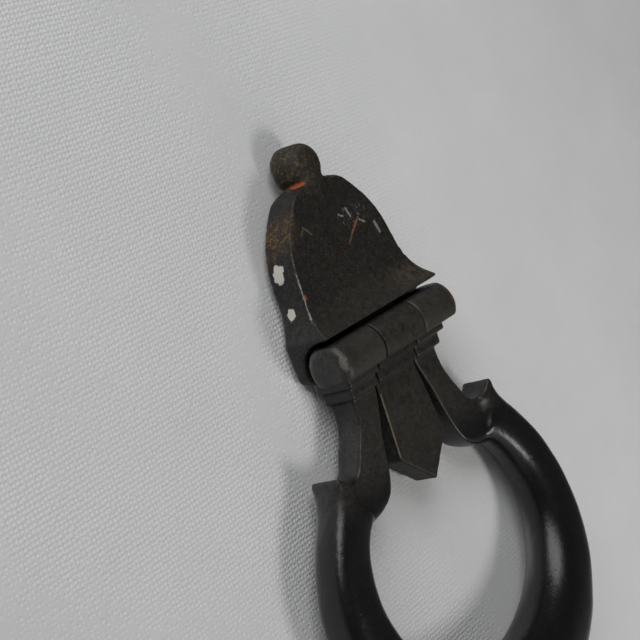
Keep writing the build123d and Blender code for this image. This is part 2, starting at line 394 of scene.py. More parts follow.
# %% Ring surface
soften(ring_mesh, 6)
soften(ring_mesh, 22, on_horns)
soften(ring_mesh, 130, np.maximum(flank, on_bar))
uneven(ring_mesh, 0.14, 8.0, 3, step_up(drop, 16, 24))
uneven(ring_mesh, 0.04, 1.6, 4, 1 - 0.6 * on_bar)
mark_bend(ring_mesh)
ring = new_piece("ring_iron", ring_mesh)
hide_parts("knocker_ring")
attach(ring, "ring")
print("ring skin:", len(ring_mesh.vertices), "points")

# %% [markdown]
# ## The hidden steel
#
# A pin holds the hinge together, and a threaded stud with a washer and a nut holds the
# boss to the door. Turned pieces are profiles spun round their axis. The pin's ends are
# slightly mushroomed, as they are once a hammer has driven it in.

# %% Helpers for the fixings
ACROSS = (1, 0, 0)
INTO_DOOR = (0, 1, 0)


def along_box(node, axis):
    """Where a node starts along an axis, and its length and radius in mm."""
    low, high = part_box(node)
    middle = (low + high) / 2
    length = (high - low)[axis] / MM
    radius = (high - low)[(axis + 1) % 3] / 2 / MM
    start = middle.copy()
    start[axis] = low[axis]
    return start, length, radius


def finish_piece(piece, node, body):
    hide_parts(node)
    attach(piece, body)
    print(f"{piece.name}: {len(piece.data.vertices)} points")


print("fixing helpers ready")

# %% Pin and spur
start, length, radius = along_box("hinge_pin", 0)
pin_profile = [(0, 0.9), (0.1, 1.5), (0.35, radius - 0.12), (0.8, radius), (length - 0.9, radius)]
pin_profile += [(length - 0.5, radius - 0.02), (length - 0.2, radius - 0.25), (length, 1.1)]
pin = new_piece("hinge_pin_steel", turned("hinge_pin_steel", pin_profile, start, ACROSS))
finish_piece(pin, "hinge_pin", "boss")

start, length, radius = along_box("locating_spur", 1)
spur_profile = [(0, 1.0), (0.2, radius), (length - 3.2, radius), (length - 2.6, radius - 0.15)]
spur_profile += [(length - 0.3, 0.28), (length, 0.08)]
spur = new_piece("spur_steel", turned("spur_steel", spur_profile, start, INTO_DOOR, 32))
finish_piece(spur, "locating_spur", "boss")

# %% Washer
BORE = 4.4
SAME_POINT = 1e-7


def turned_ring(name, profile, origin, axis, steps=96):
    """A turned piece with a hole: the profile is closed on itself instead of capped."""
    mesh = turned(name, profile + profile[:1], origin, axis, steps)
    closing = bmesh.new()
    closing.from_mesh(mesh)
    caps = [face for face in closing.faces if len(face.verts) == steps]
    bmesh.ops.delete(closing, geom=caps, context="FACES_ONLY")
    bmesh.ops.remove_doubles(closing, verts=closing.verts, dist=SAME_POINT)
    bmesh.ops.recalc_face_normals(closing, faces=closing.faces)
    closing.to_mesh(mesh)
    closing.free()
    return mesh


start, length, radius = along_box("fixing_washer", 1)
washer_profile = [(0.25, BORE), (0, BORE + 0.25), (0, radius - 0.5), (0.2, radius - 0.12)]
washer_profile += [(0.55, radius), (length - 0.35, radius), (length - 0.1, radius - 0.1)]
washer_profile += [(length, radius - 0.4), (length, BORE + 0.3), (length - 0.25, BORE)]
washer = new_piece("washer_steel", turned_ring("washer_steel", washer_profile, start, INTO_DOOR))
finish_piece(washer, "fixing_washer", "boss")

# %% [markdown]
# The stud's thread is a real helix: at every height and angle the radius follows a
# triangular wave that climbs one pitch for each turn. The nut is made the same way. Its
# outside is the smaller of a hexagon and a cone, which gives the curved chamfers that
# every nut has, and its bore carries the matching thread.

# %% Helpers for threads
PITCH = 1.25
THREAD_DEPTH = 0.6
THREAD_TOP = 3.9
ROW = PITCH / 8


def thread_radius(along, angle, top=THREAD_TOP):
    """Radius of a thread at a place along it and an angle round it."""
    turn = (along / PITCH - angle / math.tau) % 1.0
    return top - THREAD_DEPTH * min(1.0, max(0.0, abs(turn - 0.5) * 2.6 - 0.15))


def wrapped_grid(name, rows, columns, point_at, closed_rows):
    """A grid of points bent into a tube, with its faces all turned outwards."""
    points = [point_at(row, column) for row in range(rows) for column in range(columns)]
    mesh = mesh_of(name, points, tube_faces(rows, columns, closed_rows))
    turning = bmesh.new()
    turning.from_mesh(mesh)
    bmesh.ops.recalc_face_normals(turning, faces=turning.faces)
    turning.to_mesh(mesh)
    turning.free()
    return mesh


print(f"thread of {PITCH} mm pitch ready")

# %% Threaded stud
start, length, radius = along_box("fixing_stud", 1)
BOSS_THREAD = 5.0
NUT_THREAD = 16.0
END_CHAMFER = 0.9
STUD_STEPS = 36
thread_start = length - NUT_THREAD
heights = list(np.arange(0, BOSS_THREAD, ROW)) + [5.2, 6.0, thread_start - 1, thread_start]
heights += list(np.arange(thread_start + 0.3, length, ROW)) + [length]


def stud_point(row, column):
    along = heights[row]
    angle = math.tau * column / STUD_STEPS
    threaded = along <= BOSS_THREAD or along >= thread_start + 0.2
    size = thread_radius(along, angle) if threaded else radius
    size = min(size, radius - END_CHAMFER + along, radius - END_CHAMFER + length - along)
    return start + Vector((size * math.cos(angle), along, size * math.sin(angle))) * MM


stud_mesh = wrapped_grid("stud_steel", len(heights), STUD_STEPS, stud_point, False)
stud = new_piece("stud_steel", stud_mesh)
finish_piece(stud, "fixing_stud", "boss")

# %% Threaded nut
nut_low, nut_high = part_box("fixing_nut")
nut_height = (nut_high.y - nut_low.y) / MM
nut_start = Vector((0, nut_low.y, (nut_low.z + nut_high.z) / 2))
NUT_HALF = 6.5
NUT_CORNER = 7.35
NUT_STEPS = 72
SIDE_ROWS = 14
THREAD_PLAY = 0.12
LEAD_IN = 0.5
side = [(along, False) for along in np.linspace(0, nut_height, SIDE_ROWS)]
bore = [(along, True) for along in np.linspace(nut_height, 0, int(nut_height / ROW) + 1)]
nut_rows = side + bore


def nut_point(row, column):
    along, threaded = nut_rows[row]
    angle = math.tau * column / NUT_STEPS
    if threaded:
        lead_in = max(0.0, LEAD_IN - along, LEAD_IN - (nut_height - along))
        size = thread_radius(along, angle, THREAD_TOP + THREAD_PLAY) + lead_in * 0.8
    else:
        flat = NUT_HALF / math.cos((angle + math.pi / 6) % (math.pi / 3) - math.pi / 6)
        cone = NUT_HALF - 0.15 + 1.8 * min(along, nut_height - along)
        size = min(flat, cone, NUT_CORNER)
    return nut_start + Vector((size * math.cos(angle), along, size * math.sin(angle))) * MM


nut_mesh = wrapped_grid("nut_steel", len(nut_rows), NUT_STEPS, nut_point, True)
nut = new_piece("nut_steel", nut_mesh)
finish_piece(nut, "fixing_nut", "boss")

# %% [markdown]
# ## Building blocks for materials
#
# A material here is a stack of thin stories: iron, paint, wear, rust, scuffs. Each story
# needs a mask, and the same few kinds of mask turn up on every piece. So each kind is a
# node group with named inputs, made once. The helpers below only save typing: they add
# a node, set its inputs and hand back its output.

# %% Node helpers
def put(tree, kind, inputs=(), output=0, **settings):
    """Adds a node, sets or links its inputs by name or number, and returns one output."""
    node = tree.nodes.new("ShaderNode" + kind)
    for name, value in settings.items():
        setattr(node, name, value)
    for key, value in dict(inputs).items():
        if isinstance(value, bpy.types.NodeSocket):
            tree.links.new(value, node.inputs[key])
        else:
            node.inputs[key].default_value = value
    return node.outputs[output]


def calc(tree, operation, *values):
    return put(tree, "Math", enumerate(values), operation=operation)


def vector_calc(tree, operation, *values, output=0):
    return put(tree, "VectorMath", enumerate(values), output, operation=operation)


def soft_step(tree, value, low, high, start=0.0, end=1.0):
    inputs = {"Value": value, "From Min": low, "From Max": high, "To Min": start, "To Max": end}
    return put(tree, "MapRange", inputs, interpolation_type="SMOOTHSTEP")


def tint(tree, share, under, over):
    """Colour over laid on colour under where share is 1."""
    return put(tree, "Mix", {0: share, 6: under, 7: over}, 2, data_type="RGBA")


def level(tree, share, under, over):
    """Number over in place of number under where share is 1."""
    return put(tree, "Mix", {0: share, 2: under, 3: over}, 0, data_type="FLOAT")


def cloud(tree, where, size, detail=4.0, rough=0.55, stretch=None):
    """Noise from 0 to 1 with lumps of about size mm."""
    if stretch:
        where = vector_calc(tree, "MULTIPLY", where, stretch)
    inputs = {"Vector": where, "Scale": 1 / size, "Detail": detail, "Roughness": rough}
    return put(tree, "TexNoise", inputs, "Fac")


def by_size(tree, where, size):
    """A place counted in sizes, where the size is a number that a group is given."""
    return vector_calc(tree, "DIVIDE", where, put(tree, "CombineXYZ", {i: size for i in range(3)}))


def sized_noise(tree, where, size):
    """Noise from 0 to 1 with lumps of a size that a group is given."""
    inputs = {"Vector": by_size(tree, where, size), "Scale": 1.0, "Detail": 5.0, "Roughness": 0.6}
    return put(tree, "TexNoise", inputs, "Fac")


def random_cells(tree, where):
    """Cells of space, one unit wide: each has its own Color, and a Distance from its middle."""
    return put(tree, "TexVoronoi", {"Vector": where, "Scale": 1.0}, "Distance").node.outputs


print("node helpers ready")

# %% Helpers for node groups
def new_group(title, inputs, outputs):
    """An empty node group with named sockets, and its two end nodes."""
    group = bpy.data.node_groups.new(title, "ShaderNodeTree")
    for name, kind, value in inputs:
        socket = group.interface.new_socket(name=name, in_out="INPUT", socket_type="NodeSocket" + kind)
        if value is not None:
            socket.default_value = value
    for name, kind in outputs:
        group.interface.new_socket(name=name, in_out="OUTPUT", socket_type="NodeSocket" + kind)
    return group, group.nodes.new("NodeGroupInput").outputs, group.nodes.new("NodeGroupOutput").inputs


def use(tree, group, output, **inputs):
    """Places a group; an input's name is written with underscores for spaces."""
    named = {name.replace("_", " "): value for name, value in inputs.items()}
    node = tree.nodes.new("ShaderNodeGroup")
    node.node_tree = group
    for key, value in named.items():
        if isinstance(value, bpy.types.NodeSocket):
            tree.links.new(value, node.inputs[key])
        else:
            node.inputs[key].default_value = value
    return node.outputs[output]


print("group helpers ready")

# %% [markdown]
# ### Cast skin
#
# Sand leaves iron faintly pebbled, with small pits where grains stuck. Under several
# coats of paint the pebbles are soft and the pits are shallow. The group gives a height
# for the bump, a mask for the pits, and a slow mottle for colour.

# %% Group: cast skin
cast_skin, given, gives = new_group(
    "Cast skin",
    [
        ("Where", "Vector", None),
        ("Pebble size", "Float", 1.6),
        ("Pit size", "Float", 0.9),
        ("Pit share", "Float", 0.3),
    ],
    [("Height", "Float"), ("Pits", "Float"), ("Mottle", "Float")],
)
tree = cast_skin
PIT_DEPTH = 0.35
pebbles = sized_noise(tree, given["Where"], given["Pebble size"])
cells = random_cells(tree, by_size(tree, given["Where"], given["Pit size"]))
chance = put(tree, "SeparateColor", {0: cells["Color"]}, 0)
is_pit = calc(tree, "LESS_THAN", chance, given["Pit share"])
bowls = soft_step(tree, cells["Distance"], 0.10, 0.42, 1.0, 0.0)
pits = calc(tree, "MULTIPLY", bowls, is_pit)
height = calc(tree, "SUBTRACT", pebbles, calc(tree, "MULTIPLY", pits, PIT_DEPTH))
tree.links.new(height, gives["Height"])
tree.links.new(pits, gives["Pits"])
tree.links.new(cloud(tree, given["Where"], 9.0, 3.0), gives["Mottle"])
print("group", cast_skin.name)

# %% [markdown]
# ### Worn arris
#
# Wear follows the stored bend value, but never evenly. A noise breaks it up, so that an
# arris is bare here and whole there.

# %% Group: worn arris
worn_arris, given, gives = new_group(
    "Worn arris",
    [
        ("Where", "Vector", None),
        ("Bend", "Float", 0.0),
        ("Start", "Float", 0.3),
        ("Breaks", "Float", 0.5),
    ],
    [("Mask", "Float")],
)
tree = worn_arris
FADE_WIDTH = 0.28
uneven_wear = calc(tree, "SUBTRACT", cloud(tree, given["Where"], 2.2, 5.0, 0.65), 0.5)
broken = calc(tree, "MULTIPLY", uneven_wear, given["Breaks"])
proud = calc(tree, "ADD", given["Bend"], calc(tree, "MULTIPLY", broken, 2.0))
end = calc(tree, "ADD", given["Start"], FADE_WIDTH)
tree.links.new(soft_step(tree, proud, given["Start"], end), gives["Mask"])
print("group", worn_arris.name)

# %% [markdown]
# ### Blot and scratch
#
# A blot is a ragged ellipsoid at one place on the object, for a splash of paint, a scuff
# or a bloom of rust. A scratch is the same idea for the line between two places. Both
# are told where they are in the object's own millimetres, so they stay put as it turns.

# %% Group: blot
blot, given, gives = new_group(
    "Blot",
    [
        ("Where", "Vector", None),
        ("Centre", "Vector", None),
        ("Half size", "Vector", (1, 1, 1)),
        ("Raggedness", "Float", 0.5),
        ("Lump size", "Float", 1.5),
        ("Softness", "Float", 0.2),
    ],
    [("Mask", "Float")],
)
tree = blot
from_centre = vector_calc(tree, "SUBTRACT", given["Where"], given["Centre"])
from_centre = vector_calc(tree, "DIVIDE", from_centre, given["Half size"])
reach = vector_calc(tree, "LENGTH", from_centre, output=1)
lumps = calc(tree, "SUBTRACT", sized_noise(tree, given["Where"], given["Lump size"]), 0.5)
ragged = calc(tree, "MULTIPLY", lumps, calc(tree, "MULTIPLY", given["Raggedness"], 2.5))
reach = calc(tree, "ADD", reach, ragged)
inside = calc(tree, "SUBTRACT", 1.0, given["Softness"])
outside = calc(tree, "ADD", 1.0, given["Softness"])
tree.links.new(soft_step(tree, reach, inside, outside, 1.0, 0.0), gives["Mask"])
print("group", blot.name)

# %% Group: scratch
scratch, given, gives = new_group(
    "Scratch",
    [
        ("Where", "Vector", None),
        ("From", "Vector", None),
        ("To", "Vector", None),
        ("Half width", "Float", 0.3),
        ("Breaks", "Float", 0.5),
    ],
    [("Mask", "Float")],
)
tree = scratch
run = vector_calc(tree, "SUBTRACT", given["To"], given["From"])
local = vector_calc(tree, "SUBTRACT", given["Where"], given["From"])
run_length = vector_calc(tree, "DOT_PRODUCT", run, run, output=1)
along = calc(tree, "DIVIDE", vector_calc(tree, "DOT_PRODUCT", local, run, output=1), run_length)
along = put(tree, "Clamp", {"Value": along})
nearest = vector_calc(tree, "SCALE", run)
tree.links.new(along, nearest.node.inputs["Scale"])
gap = vector_calc(tree, "LENGTH", vector_calc(tree, "SUBTRACT", local, nearest), output=1)
skips = calc(tree, "SUBTRACT", cloud(tree, given["Where"], 1.1, 4.0, 0.6), 0.45)
gap = calc(tree, "ADD", gap, calc(tree, "MULTIPLY", skips, given["Breaks"]))
narrow = calc(tree, "MULTIPLY", given["Half width"], 0.45)
tree.links.new(soft_step(tree, gap, narrow, given["Half width"], 1.0, 0.0), gives["Mask"])
print("group", scratch.name)

# %% [markdown]
# ### Flecks
#
# Fine specks scattered at random: dust caught in the paint, pinholes that rust shows
# through, chips. Each small cell of space either holds a speck or it doesn't.

# %% Group: flecks
flecks, given, gives = new_group(
    "Flecks",
    [
        ("Where", "Vector", None),
        ("Cell size", "Float", 1.0),
        ("Share", "Float", 0.2),
        ("Speck", "Float", 0.3),
    ],
    [("Mask", "Float")],
)
tree = flecks
at = by_size(tree, given["Where"], given["Cell size"])
wobble = put(tree, "TexNoise", {"Vector": at, "Scale": 2.0, "Detail": 2.0, "Roughness": 0.5}, "Color")
at = vector_calc(tree, "ADD", at, vector_calc(tree, "MULTIPLY", wobble, (0.5, 0.5, 0.5)))
cells = random_cells(tree, at)
chance = put(tree, "SeparateColor", {0: cells["Color"]}, 1)
chosen = calc(tree, "LESS_THAN", chance, given["Share"])
inner = calc(tree, "MULTIPLY", given["Speck"], 0.5)
speck = soft_step(tree, cells["Distance"], inner, given["Speck"], 1.0, 0.0)
tree.links.new(calc(tree, "MULTIPLY", speck, chosen), gives["Mask"])
print("group", flecks.name)

# %% [markdown]
# ## The iron's finish
#
# A finish keeps a running colour, a running roughness and a running metal share, and each
# story lays its own over them where its mask says so. The boss and the ring are both made
# this way, and so is the steel.

# %% A finish in the making
class Finish:
    """A material in the making: a running colour, roughness and metal share, and a height."""

    def __init__(self, title, colour, roughness):
        self.material = bpy.data.materials.new(title)
        self.material.use_nodes = True
        self.tree = self.material.node_tree
        self.tree.nodes.clear()
        at = put(self.tree, "TexCoord", output="Object")
        self.where = vector_calc(self.tree, "MULTIPLY", at, (1 / MM, 1 / MM, 1 / MM))
        self.bend = put(self.tree, "Attribute", output="Fac", attribute_name="bend")
        self.colour = colour
        self.roughness = roughness
        self.metal = 0.0
        self.height = 0.0

    def lay(self, mask, colour, roughness=None, strength=1.0, metal=None):
        """Lays a colour, and a roughness and metal share if given, over what is there."""
        share = calc(self.tree, "MULTIPLY", mask, strength) if strength != 1.0 else mask
        self.colour = tint(self.tree, share, self.colour, colour)
        if roughness is not None:
            self.roughness = level(self.tree, share, self.roughness, roughness)
        if metal is not None:
            self.metal = level(self.tree, share, self.metal, metal)

    def done(self, relief, specular=0.5):
        """Joins everything up. relief is how high the bumps are, in mm."""
        tree = self.tree
        bump = put(tree, "Bump", {"Height": self.height, "Distance": relief * MM, "Strength": 1.0})
        inputs = {"Base Color": self.colour, "Roughness": self.roughness, "Metallic": self.metal}
        inputs["Normal"] = bump
        inputs["Specular IOR Level"] = specular
        shader = put(tree, "BsdfPrincipled", inputs)
        out = tree.nodes.new("ShaderNodeOutputMaterial")
        tree.links.new(shader, out.inputs["Surface"])
        print("material", self.material.name, "with", len(tree.nodes), "nodes")
        return self.material


def dress(piece, material):
    """Gives a piece one material and no other."""
    piece.data.materials.clear()
    piece.data.materials.append(material)


def rgb(red, green, blue):
    return (red, green, blue, 1.0)


print("finish ready")

# %% Masks at known places
def spot(x, depth, rise):
    """A place on the knocker in the object's own millimetres, for the groups."""
    return tuple(place(x, depth, rise) / MM)


def blot_mask(finish, x, depth, rise, half_size, raggedness=0.4, lump=1.2, softness=0.15):
    return use(
        finish.tree,
        blot,
        "Mask",
        Where=finish.where,
        Centre=spot(x, depth, rise),
        Half_size=half_size,
        Raggedness=raggedness,
        Lump_size=lump,
        Softness=softness,
    )


def scratch_mask(finish, start, end, half_width, breaks=0.4):
    return use(
        finish.tree,
        scratch,
        "Mask",
        Where=finish.where,
        From=spot(*start),
        To=spot(*end),
        Half_width=half_width,
        Breaks=breaks,
    )


def both(finish, mask, other):
    """Where two masks overlap."""
    return calc(finish.tree, "MULTIPLY", mask, other)


print("mark helpers ready")

# %% [markdown]
# ### Old black paint
#
# The boss and the ring share this ground. It is black paint, with films of dust, brown smears,
# rust in some of the pits, dirt in the hollows, and arrises that are worn a little paler. The
# faces that look away from the door are painted browner and lighter, which is painted light.
# The middle of the knocker, which hands reach for, has a duller film in front.

# %% Colours of the ground
PAINT_BLACK = rgb(0.0040, 0.0042, 0.0047)
FRONT_PAINTED_LIGHT = rgb(0.0110, 0.0088, 0.0060)
DUST = rgb(0.070, 0.064, 0.054)
BROWN_SMEAR = rgb(0.050, 0.038, 0.024)
RUST_DARK = rgb(0.060, 0.026, 0.012)
HOLLOW_DIRT = rgb(0.006, 0.005, 0.004)
WORN_PAINT = rgb(0.060, 0.055, 0.046)
HANDLED_FILM = rgb(0.042, 0.036, 0.027)
print("eight colours for the ground")

# %% The ground
def old_black_paint(title, gloss):
    """The shared ground, on paint whose clean roughness is gloss."""
    finish = Finish(title, PAINT_BLACK, gloss)
    tree, where = finish.tree, finish.where
    iron = use(tree, cast_skin, "Height", Where=where).node.outputs
    finish.height = iron["Height"]
    facing_out = put(tree, "SeparateXYZ", {0: put(tree, "TexCoord", output="Normal")}, 1)
    front = soft_step(tree, calc(tree, "MULTIPLY", facing_out, -1.0), 0.35, 0.95)
    # Painted light: a mottled brown, lighter than the black, on the faces that look away from the
    # door.
    finish.lay(both(finish, front, soft_step(tree, iron["Mottle"], 0.3, 0.7, 0.35, 1.0)), FRONT_PAINTED_LIGHT)
    film = cloud(tree, where, 1.4, 8.0, 0.75)
    finish.lay(soft_step(tree, film, 0.48, 0.60), DUST, gloss + 0.15, 0.17)
    grit = cloud(tree, where, 0.45, 5.0, 0.8)
    finish.lay(soft_step(tree, grit, 0.53, 0.60), DUST, gloss + 0.2, 0.42)
    smear = cloud(tree, where, 1.0, 6.0, 0.7, (0.25, 0.25, 1.0))
    finish.lay(soft_step(tree, smear, 0.55, 0.70), BROWN_SMEAR, gloss + 0.15, 0.4)
    finish.lay(iron["Pits"], RUST_DARK, 0.8, 0.35)
    hollows = soft_step(tree, calc(tree, "MULTIPLY", finish.bend, -1.0), 0.25, 0.9)
    finish.lay(hollows, HOLLOW_DIRT, 0.7, 0.8)
    worn = use(tree, worn_arris, "Mask", Where=where, Bend=finish.bend, Start=0.8, Breaks=1.2)
    finish.lay(worn, WORN_PAINT, 0.5, 0.16)
    handled = blot_mask(finish, 0, 14.5, -14.0, (30.0, 9.0, 26.0), 0.35, 5.0, 0.5)
    patchy = soft_step(tree, cloud(tree, where, 1.6, 7.0, 0.75), 0.36, 0.62)
    dusty = both(finish, both(finish, handled, patchy), front)
    finish.lay(dusty, HANDLED_FILM, gloss + 0.1, 0.75)
    specks = use(tree, flecks, "Mask", Where=where, Cell_size=1.3, Share=0.16, Speck=0.22)
    finish.lay(specks, DUST, 0.7, 0.55)
    return finish


print("paint recipe ready")

# %% [markdown]
# ### The boss's own marks
#
# Most of the boss's story is at known places: orange rust in the groove under the knob,
# rusty yellow flecks on the knob and the upper left side, a brown worn lip at the right,
# scuffs and orange and brown scratches on the front, a pale scratch down the left arris,
# two blots of white wall paint, and a brassy line on the tongue. Each says where it is,
# how large, and what it is made of.

# %% Colours of the boss's marks
SIDE_STAIN = rgb(0.032, 0.022, 0.013)
SIDE_FLECK = rgb(0.24, 0.13, 0.045)
KNOB_STAIN = rgb(0.024, 0.019, 0.012)
KNOB_FLECK = rgb(0.17, 0.115, 0.050)
RUST_LEFT = rgb(0.24, 0.075, 0.022)
RUST_MIDDLE = rgb(0.30, 0.075, 0.022)
RUST_RIGHT = rgb(0.13, 0.050, 0.018)
RUST_DOT = rgb(0.25, 0.075, 0.02)
LIP_BROWN = rgb(0.070, 0.050, 0.033)
SCUFF_GREY = rgb(0.21, 0.22, 0.22)
DASH_GREY = rgb(0.22, 0.225, 0.22)
SCRATCH_ORANGE = rgb(0.22, 0.085, 0.040)
SCRATCH_ORANGE_END = rgb(0.16, 0.065, 0.032)
SCRATCH_BROWN = rgb(0.085, 0.065, 0.035)
SCRATCH_PALE = rgb(0.26, 0.26, 0.245)
CHALK = rgb(0.58, 0.565, 0.50)
RUBBED_BRASSY = rgb(0.16, 0.13, 0.080)
print("seventeen colours for the boss's marks")

# %% Boss: rust round the knob, and the worn lip
boss_finish = old_black_paint("boss_black_paint", 0.52)
tree, where = boss_finish.tree, boss_finish.where

rusty_side = blot_mask(boss_finish, -18.5, 4.0, 32.0, (4.5, 9.0, 9.0), 0.5, 3.0, 0.5)
rusty_knob = blot_mask(boss_finish, -3.0, 4.0, 41.0, (6.0, 8.0, 6.5), 0.5, 2.5, 0.5)
rust_flecks = soft_step(tree, cloud(tree, where, 1.1, 6.0, 0.85), 0.51, 0.58)
boss_finish.lay(rusty_side, SIDE_STAIN, 0.75, 0.7)
boss_finish.lay(both(boss_finish, rust_flecks, rusty_side), SIDE_FLECK, 0.8, 0.75)
boss_finish.lay(rusty_knob, KNOB_STAIN, 0.75, 0.6)
boss_finish.lay(both(boss_finish, rust_flecks, rusty_knob), KNOB_FLECK, 0.8, 0.5)
for at, half_size, raggedness, lump, colour in (
    ((-17.0, 6.0, 34.8), (1.6, 1.6, 1.0), 0.8, 1.2, RUST_LEFT),
    ((-4.9, 6.0, 36.3), (2.0, 2.4, 0.6), 0.6, 0.7, RUST_MIDDLE),
    ((7.5, 6.5, 35.8), (3.6, 2.5, 1.2), 0.9, 1.2, RUST_RIGHT),
):
    boss_finish.lay(blot_mask(boss_finish, *at, half_size, raggedness, lump), colour, 0.85)

worn_lip = blot_mask(boss_finish, 21.0, 10.5, 3.2, (10.0, 6.0, 3.6), 0.55, 3.5, 0.45)
worn_patches = soft_step(tree, cloud(tree, where, 1.8, 7.0, 0.7), 0.40, 0.62)
boss_finish.lay(both(boss_finish, worn_lip, worn_patches), LIP_BROWN, 0.65, 0.8)
print("rust and worn lip laid")

# %% Boss: scuffs and scratches on the front
def on_front(x, rise):
    return (x, BELL_FRONT, rise)


scuffed = blot_mask(boss_finish, 8.6, BELL_FRONT, 24.0, (5.4, 2.0, 3.0), 0.5, 2.0, 0.5)
streaks = soft_step(tree, cloud(tree, where, 0.7, 5.0, 0.65, (1.0, 1.0, 0.45)), 0.56, 0.66)
boss_finish.lay(both(boss_finish, scuffed, streaks), SCUFF_GREY, 0.6, 0.75)
grey_dashes = [
    (on_front(6.6, 26.0), on_front(7.2, 23.8), 0.55),
    (on_front(2.8, 25.5), on_front(4.4, 24.6), 0.45),
    (on_front(10.2, 22.0), on_front(11.6, 21.0), 0.5),
    (on_front(15.4, 19.6), on_front(16.1, 16.9), 0.7),
]
for start_at, end_at, half_width in grey_dashes:
    dash = scratch_mask(boss_finish, start_at, end_at, half_width, 0.9)
    boss_finish.lay(dash, DASH_GREY, 0.6, 0.9)
orange_run = scratch_mask(boss_finish, on_front(9.9, 22.7), on_front(5.2, 19.6), 0.42, 0.8)
boss_finish.lay(orange_run, SCRATCH_ORANGE, 0.8, 0.9)
orange_end = scratch_mask(boss_finish, on_front(5.2, 19.6), on_front(3.0, 17.6), 0.32, 0.8)
boss_finish.lay(orange_end, SCRATCH_ORANGE_END, 0.8, 0.8)
rust_dot = blot_mask(boss_finish, -20.5, 8.5, 10.9, (0.6, 1.2, 0.7), 0.6, 0.6)
boss_finish.lay(rust_dot, RUST_DOT, 0.85)
for end_at in (on_front(-9.5, 24.1), on_front(-13.2, 24.8)):
    brown_run = scratch_mask(boss_finish, on_front(-11.5, 26.4), end_at, 0.5, 0.9)
    boss_finish.lay(brown_run, SCRATCH_BROWN, 0.8, 0.8)
print("scuffs and scratches laid")

# %% Boss: arrises and wall paint
arris_run = [on_front(-17.4, 29.0), (-20.2, 8.5, 16.7), (-21.0, 8.6, 9.9), (-23.6, 10.2, 2.4)]
for start_at, end_at in zip(arris_run, arris_run[1:]):
    pale_run = scratch_mask(boss_finish, start_at, end_at, 0.34, 0.55)
    boss_finish.lay(pale_run, SCRATCH_PALE, 0.6, 0.9)
upper_blot = blot_mask(boss_finish, -21.0, 3.5, 18.3, (3.4, 1.9, 2.4), 0.8, 1.8, 0.06)
lower_blot = blot_mask(boss_finish, -22.5, 3.7, 8.0, (3.0, 1.4, 1.6), 0.75, 1.0, 0.06)
boss_finish.lay(upper_blot, CHALK, 0.8)
boss_finish.lay(lower_blot, CHALK, 0.8)
tongue_arris = scratch_mask(boss_finish, (-8.4, 9.0, -20.0), (-10.4, 9.0, -37.0), 0.40, 0.6)
boss_finish.lay(tongue_arris, RUBBED_BRASSY, 0.5, 0.9)
dress(boss, boss_finish.done(0.09, 0.35))

# %% [markdown]
# ### The ring's own marks
#
# Hands have kept the bar glossy and the rust away. The ring's marks are few: an orange
# bloom on the right-hand end of the barrel, a pale patch on the left-hand end that is partly
# a rub and partly a painted highlight, and a film of brown dust over the hinge.

# %% Ring material
BAR_BLACK = rgb(0.0025, 0.0025, 0.0028)
BLOOM_ORANGE = rgb(0.19, 0.085, 0.022)
PALE_RUB_AND_HIGHLIGHT = rgb(0.17, 0.17, 0.155)
HINGE_DUST = rgb(0.040, 0.034, 0.026)

ring_finish = old_black_paint("ring_black_paint", 0.42)
tree, where = ring_finish.tree, ring_finish.where
bar_shine = soft_step(tree, put(tree, "SeparateXYZ", {0: where}, 2), -62.0, -52.0, 1.0, 0.0)
ring_finish.lay(bar_shine, BAR_BLACK, 0.27, 0.85)
bloom = blot_mask(ring_finish, 25.0, 13.5, -6.0, (2.4, 5.0, 3.6), 0.5, 2.0, 0.4)
ring_finish.lay(bloom, BLOOM_ORANGE, 0.8, 0.9)
# A pale patch at the front edge of the barrel's left-hand end: partly a rub, partly a painted
# highlight.
rub_and_highlight = blot_mask(ring_finish, -25.0, 16.0, -6.4, (1.6, 0.8, 1.9), 0.9, 0.8, 0.4)
ring_finish.lay(rub_and_highlight, PALE_RUB_AND_HIGHLIGHT, 0.6, 0.75)
hinge_film = blot_mask(ring_finish, 0, 14.0, -8.0, (26.0, 5.0, 6.0), 0.6, 6.0, 0.5)
ring_finish.lay(hinge_film, HINGE_DUST, 0.6, 0.5)
dress(ring, ring_finish.done(0.07, 0.5))

# %% [markdown]
# ### Steel
#
# The hidden fixings are plain steel gone dull, and the pin and the spur are rustier. The
# metal is darker and rougher where a slow noise says it has tarnished, and a second noise
# says where it has rusted.

# %% Steel materials
TARNISH = rgb(0.10, 0.09, 0.08)
DULL_STEEL = rgb(0.42, 0.41, 0.39)
BROWNED_STEEL = rgb(0.30, 0.27, 0.24)


def aged_steel(title, colour, rust_share, roughness):
    finish = Finish(title, colour, roughness)
    finish.metal = 1.0
    tree, where = finish.tree, finish.where
    tarnish = soft_step(tree, cloud(tree, where, 4.0, 5.0), 0.42, 0.62)
    finish.lay(tarnish, TARNISH, roughness + 0.2, 0.6)
    rust = soft_step(tree, cloud(tree, where, 2.4, 6.0, 0.7), 0.66 - rust_share * 0.3, 0.72)
    finish.lay(rust, RUST_DARK, 0.85, 0.9, 0.0)
    finish.height = cloud(tree, where, 0.35, 4.0, 0.6)
    return finish.done(0.02)


fixing_steel = aged_steel("fixing_dull_steel", DULL_STEEL, 0.15, 0.38)
pin_steel = aged_steel("pin_rusty_steel", BROWNED_STEEL, 0.55, 0.45)
for piece in (stud, nut, washer):
    dress(piece, fixing_steel)
for piece in (pin, spur):
    dress(piece, pin_steel)

# %% [markdown]
# ## The stage
#
# The knocker rests against a pale embossed cloth, which hangs just behind the door's face
# and is gently wavy. It only shows from the front. From behind it lets the eye through,
# and it never stops light, so the fixings can be looked at too. A plain pale floor lies
# below.

# %% Backdrop cloth
CLOTH_WIDTH = 1.2
CLOTH_HEIGHT = 0.9
CLOTH_MIDDLE_Z = -0.03
CLOTH_BEHIND_DOOR_FACE = 0.6
CLOTH_SWELL = 2.6
FLAT_NEAR_MIDDLE = 0.05


